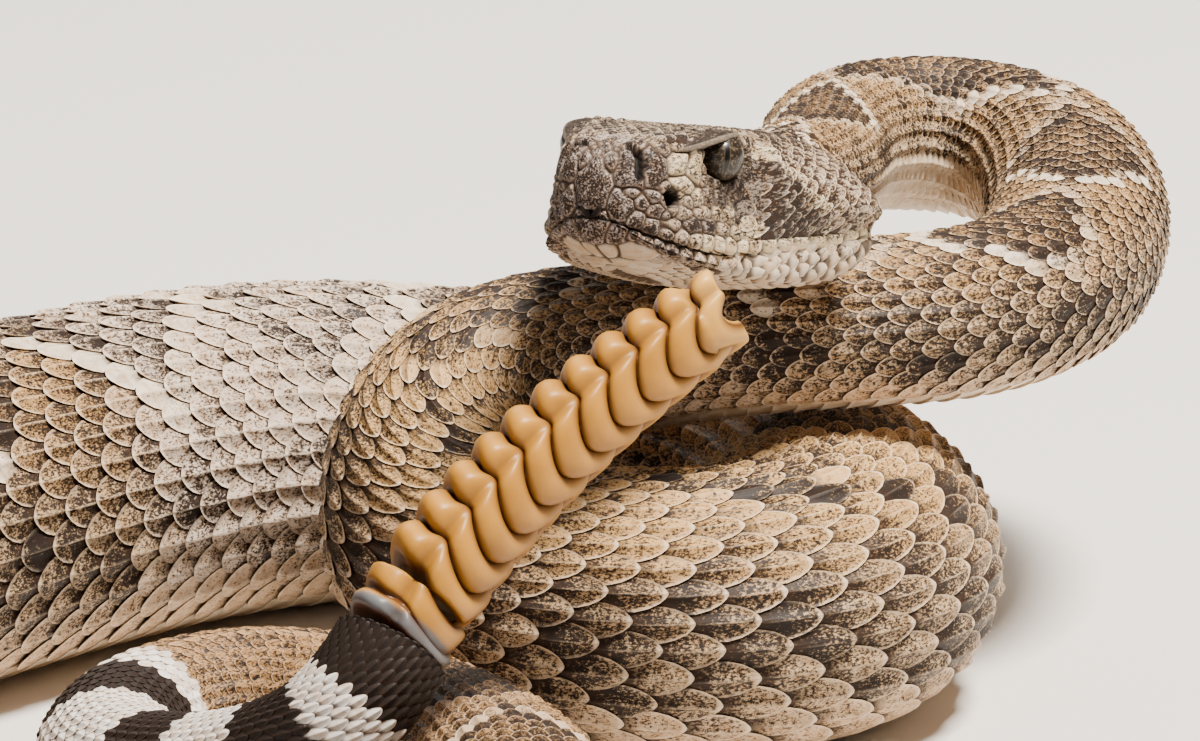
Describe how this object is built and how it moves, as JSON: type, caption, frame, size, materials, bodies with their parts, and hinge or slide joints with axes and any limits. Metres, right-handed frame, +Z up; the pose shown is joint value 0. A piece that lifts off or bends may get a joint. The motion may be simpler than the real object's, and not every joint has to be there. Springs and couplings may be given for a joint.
{
  "type": "rattlesnake model",
  "caption": "Life-size still model of a western diamondback rattlesnake in a loose coil, head drawn back over the coil, mouth shut and rattle raised.",
  "frame": {"origin": "on the floor under the middle of the model's bounding box", "axes": "+Z up; -Y towards the viewer of the picture, the side the snout points to; +X to the viewer's right"},
  "size_m": [0.2561, 0.2707, 0.0849],
  "materials": {
    "scaled_skin": "keeled scales, grey-brown with dark speckles and pale rims, semi-matte",
    "throat_skin": "smooth off-white scales, satin",
    "tail_skin": "keeled scales, tan back to black and white rings, semi-matte",
    "horn": "golden-tan horn, slightly translucent, soft gloss",
    "basal_horn": "blue-grey new horn, soft gloss",
    "eye": "wet gloss, dark brown iris with gold specks and an upright slit pupil"
  },
  "bodies": {
    "root": {"head": "scaled_skin", "lower_jaw": "throat_skin", "eye_left": "eye", "eye_right": "eye", "neck": "scaled_skin", "upper_loop_far": "scaled_skin", "upper_loop_near": "scaled_skin", "left_bend": "scaled_skin", "front_coil": "scaled_skin", "far_coil": "scaled_skin", "left_body": "scaled_skin", "rear_body_1": "scaled_skin", "rear_body_2": "scaled_skin", "rear_body_3": "scaled_skin", "tail_root": "tail_skin", "tail_turn": "tail_skin", "tail_end": "tail_skin", "rattle_base": "basal_horn", "rattle": "horn"}
  },
  "joints": []
}
